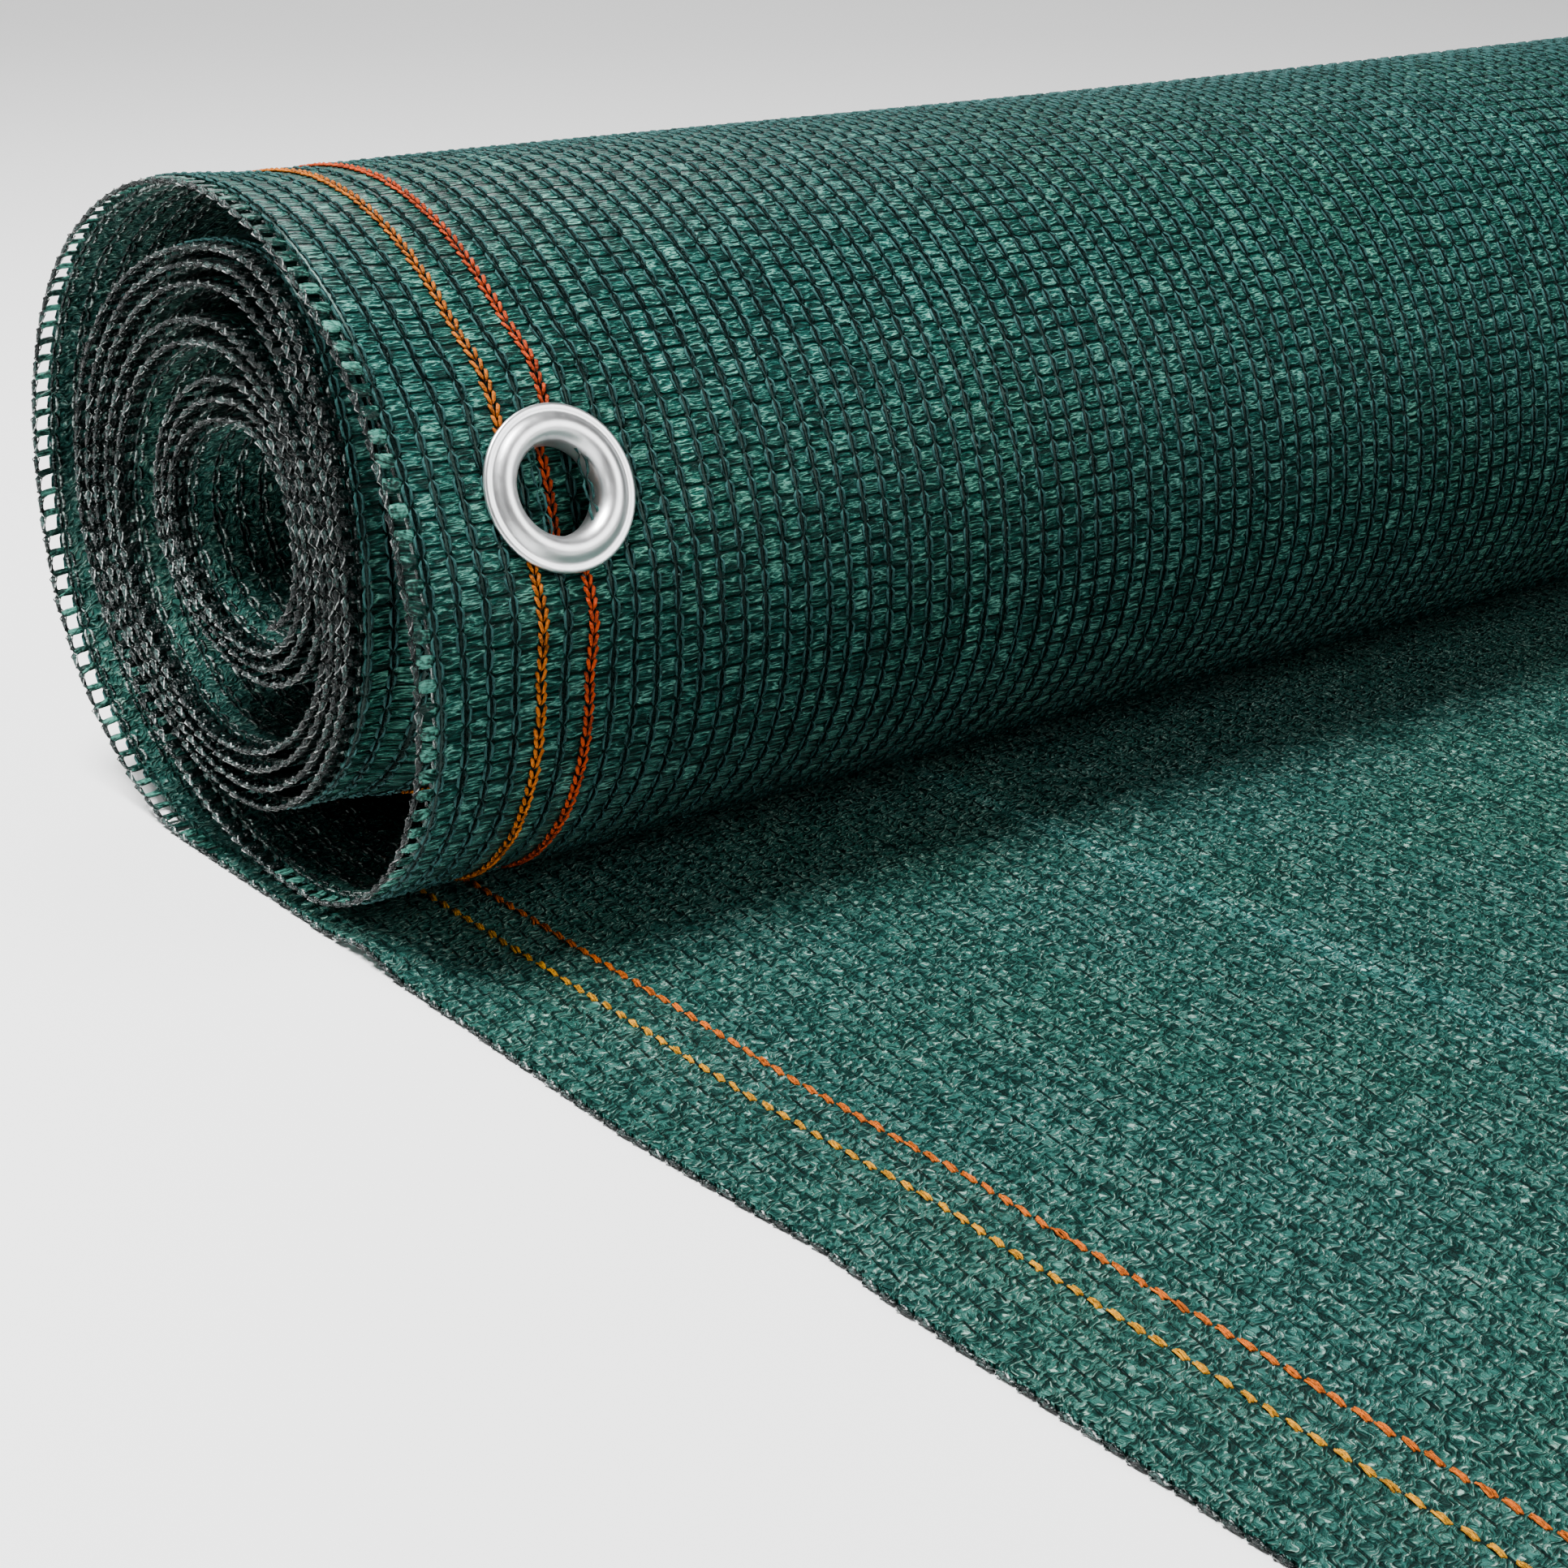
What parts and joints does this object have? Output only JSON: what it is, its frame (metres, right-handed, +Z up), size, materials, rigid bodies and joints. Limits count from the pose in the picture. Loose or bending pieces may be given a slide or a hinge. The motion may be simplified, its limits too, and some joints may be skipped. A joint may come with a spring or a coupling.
{
  "type": "privacy screen",
  "caption": "Knitted netting privacy screen in a loose roll, with one end laid out flat, a stitched border and a metal eyelet.",
  "frame": {"origin": "on the floor, under the middle of the whole cloth, on the underside of the part that lies flat", "axes": "+X along the roll away from the edge with the eyelet, +Y from the flat end towards the back of the roll, +Z up"},
  "size_m": [0.75, 0.3614, 0.1029],
  "materials": {
    "netting": "dark green knitted plastic tape, slightly glossy",
    "border": "the same netting, denser, with two rows of orange stitching",
    "eyelet_metal": "pressed and tumbled, softly shining"
  },
  "bodies": {
    "root": {"netting": "netting", "edge_strip": "border", "eyelet": "eyelet_metal", "eyelet_washer": "eyelet_metal"}
  },
  "joints": []
}
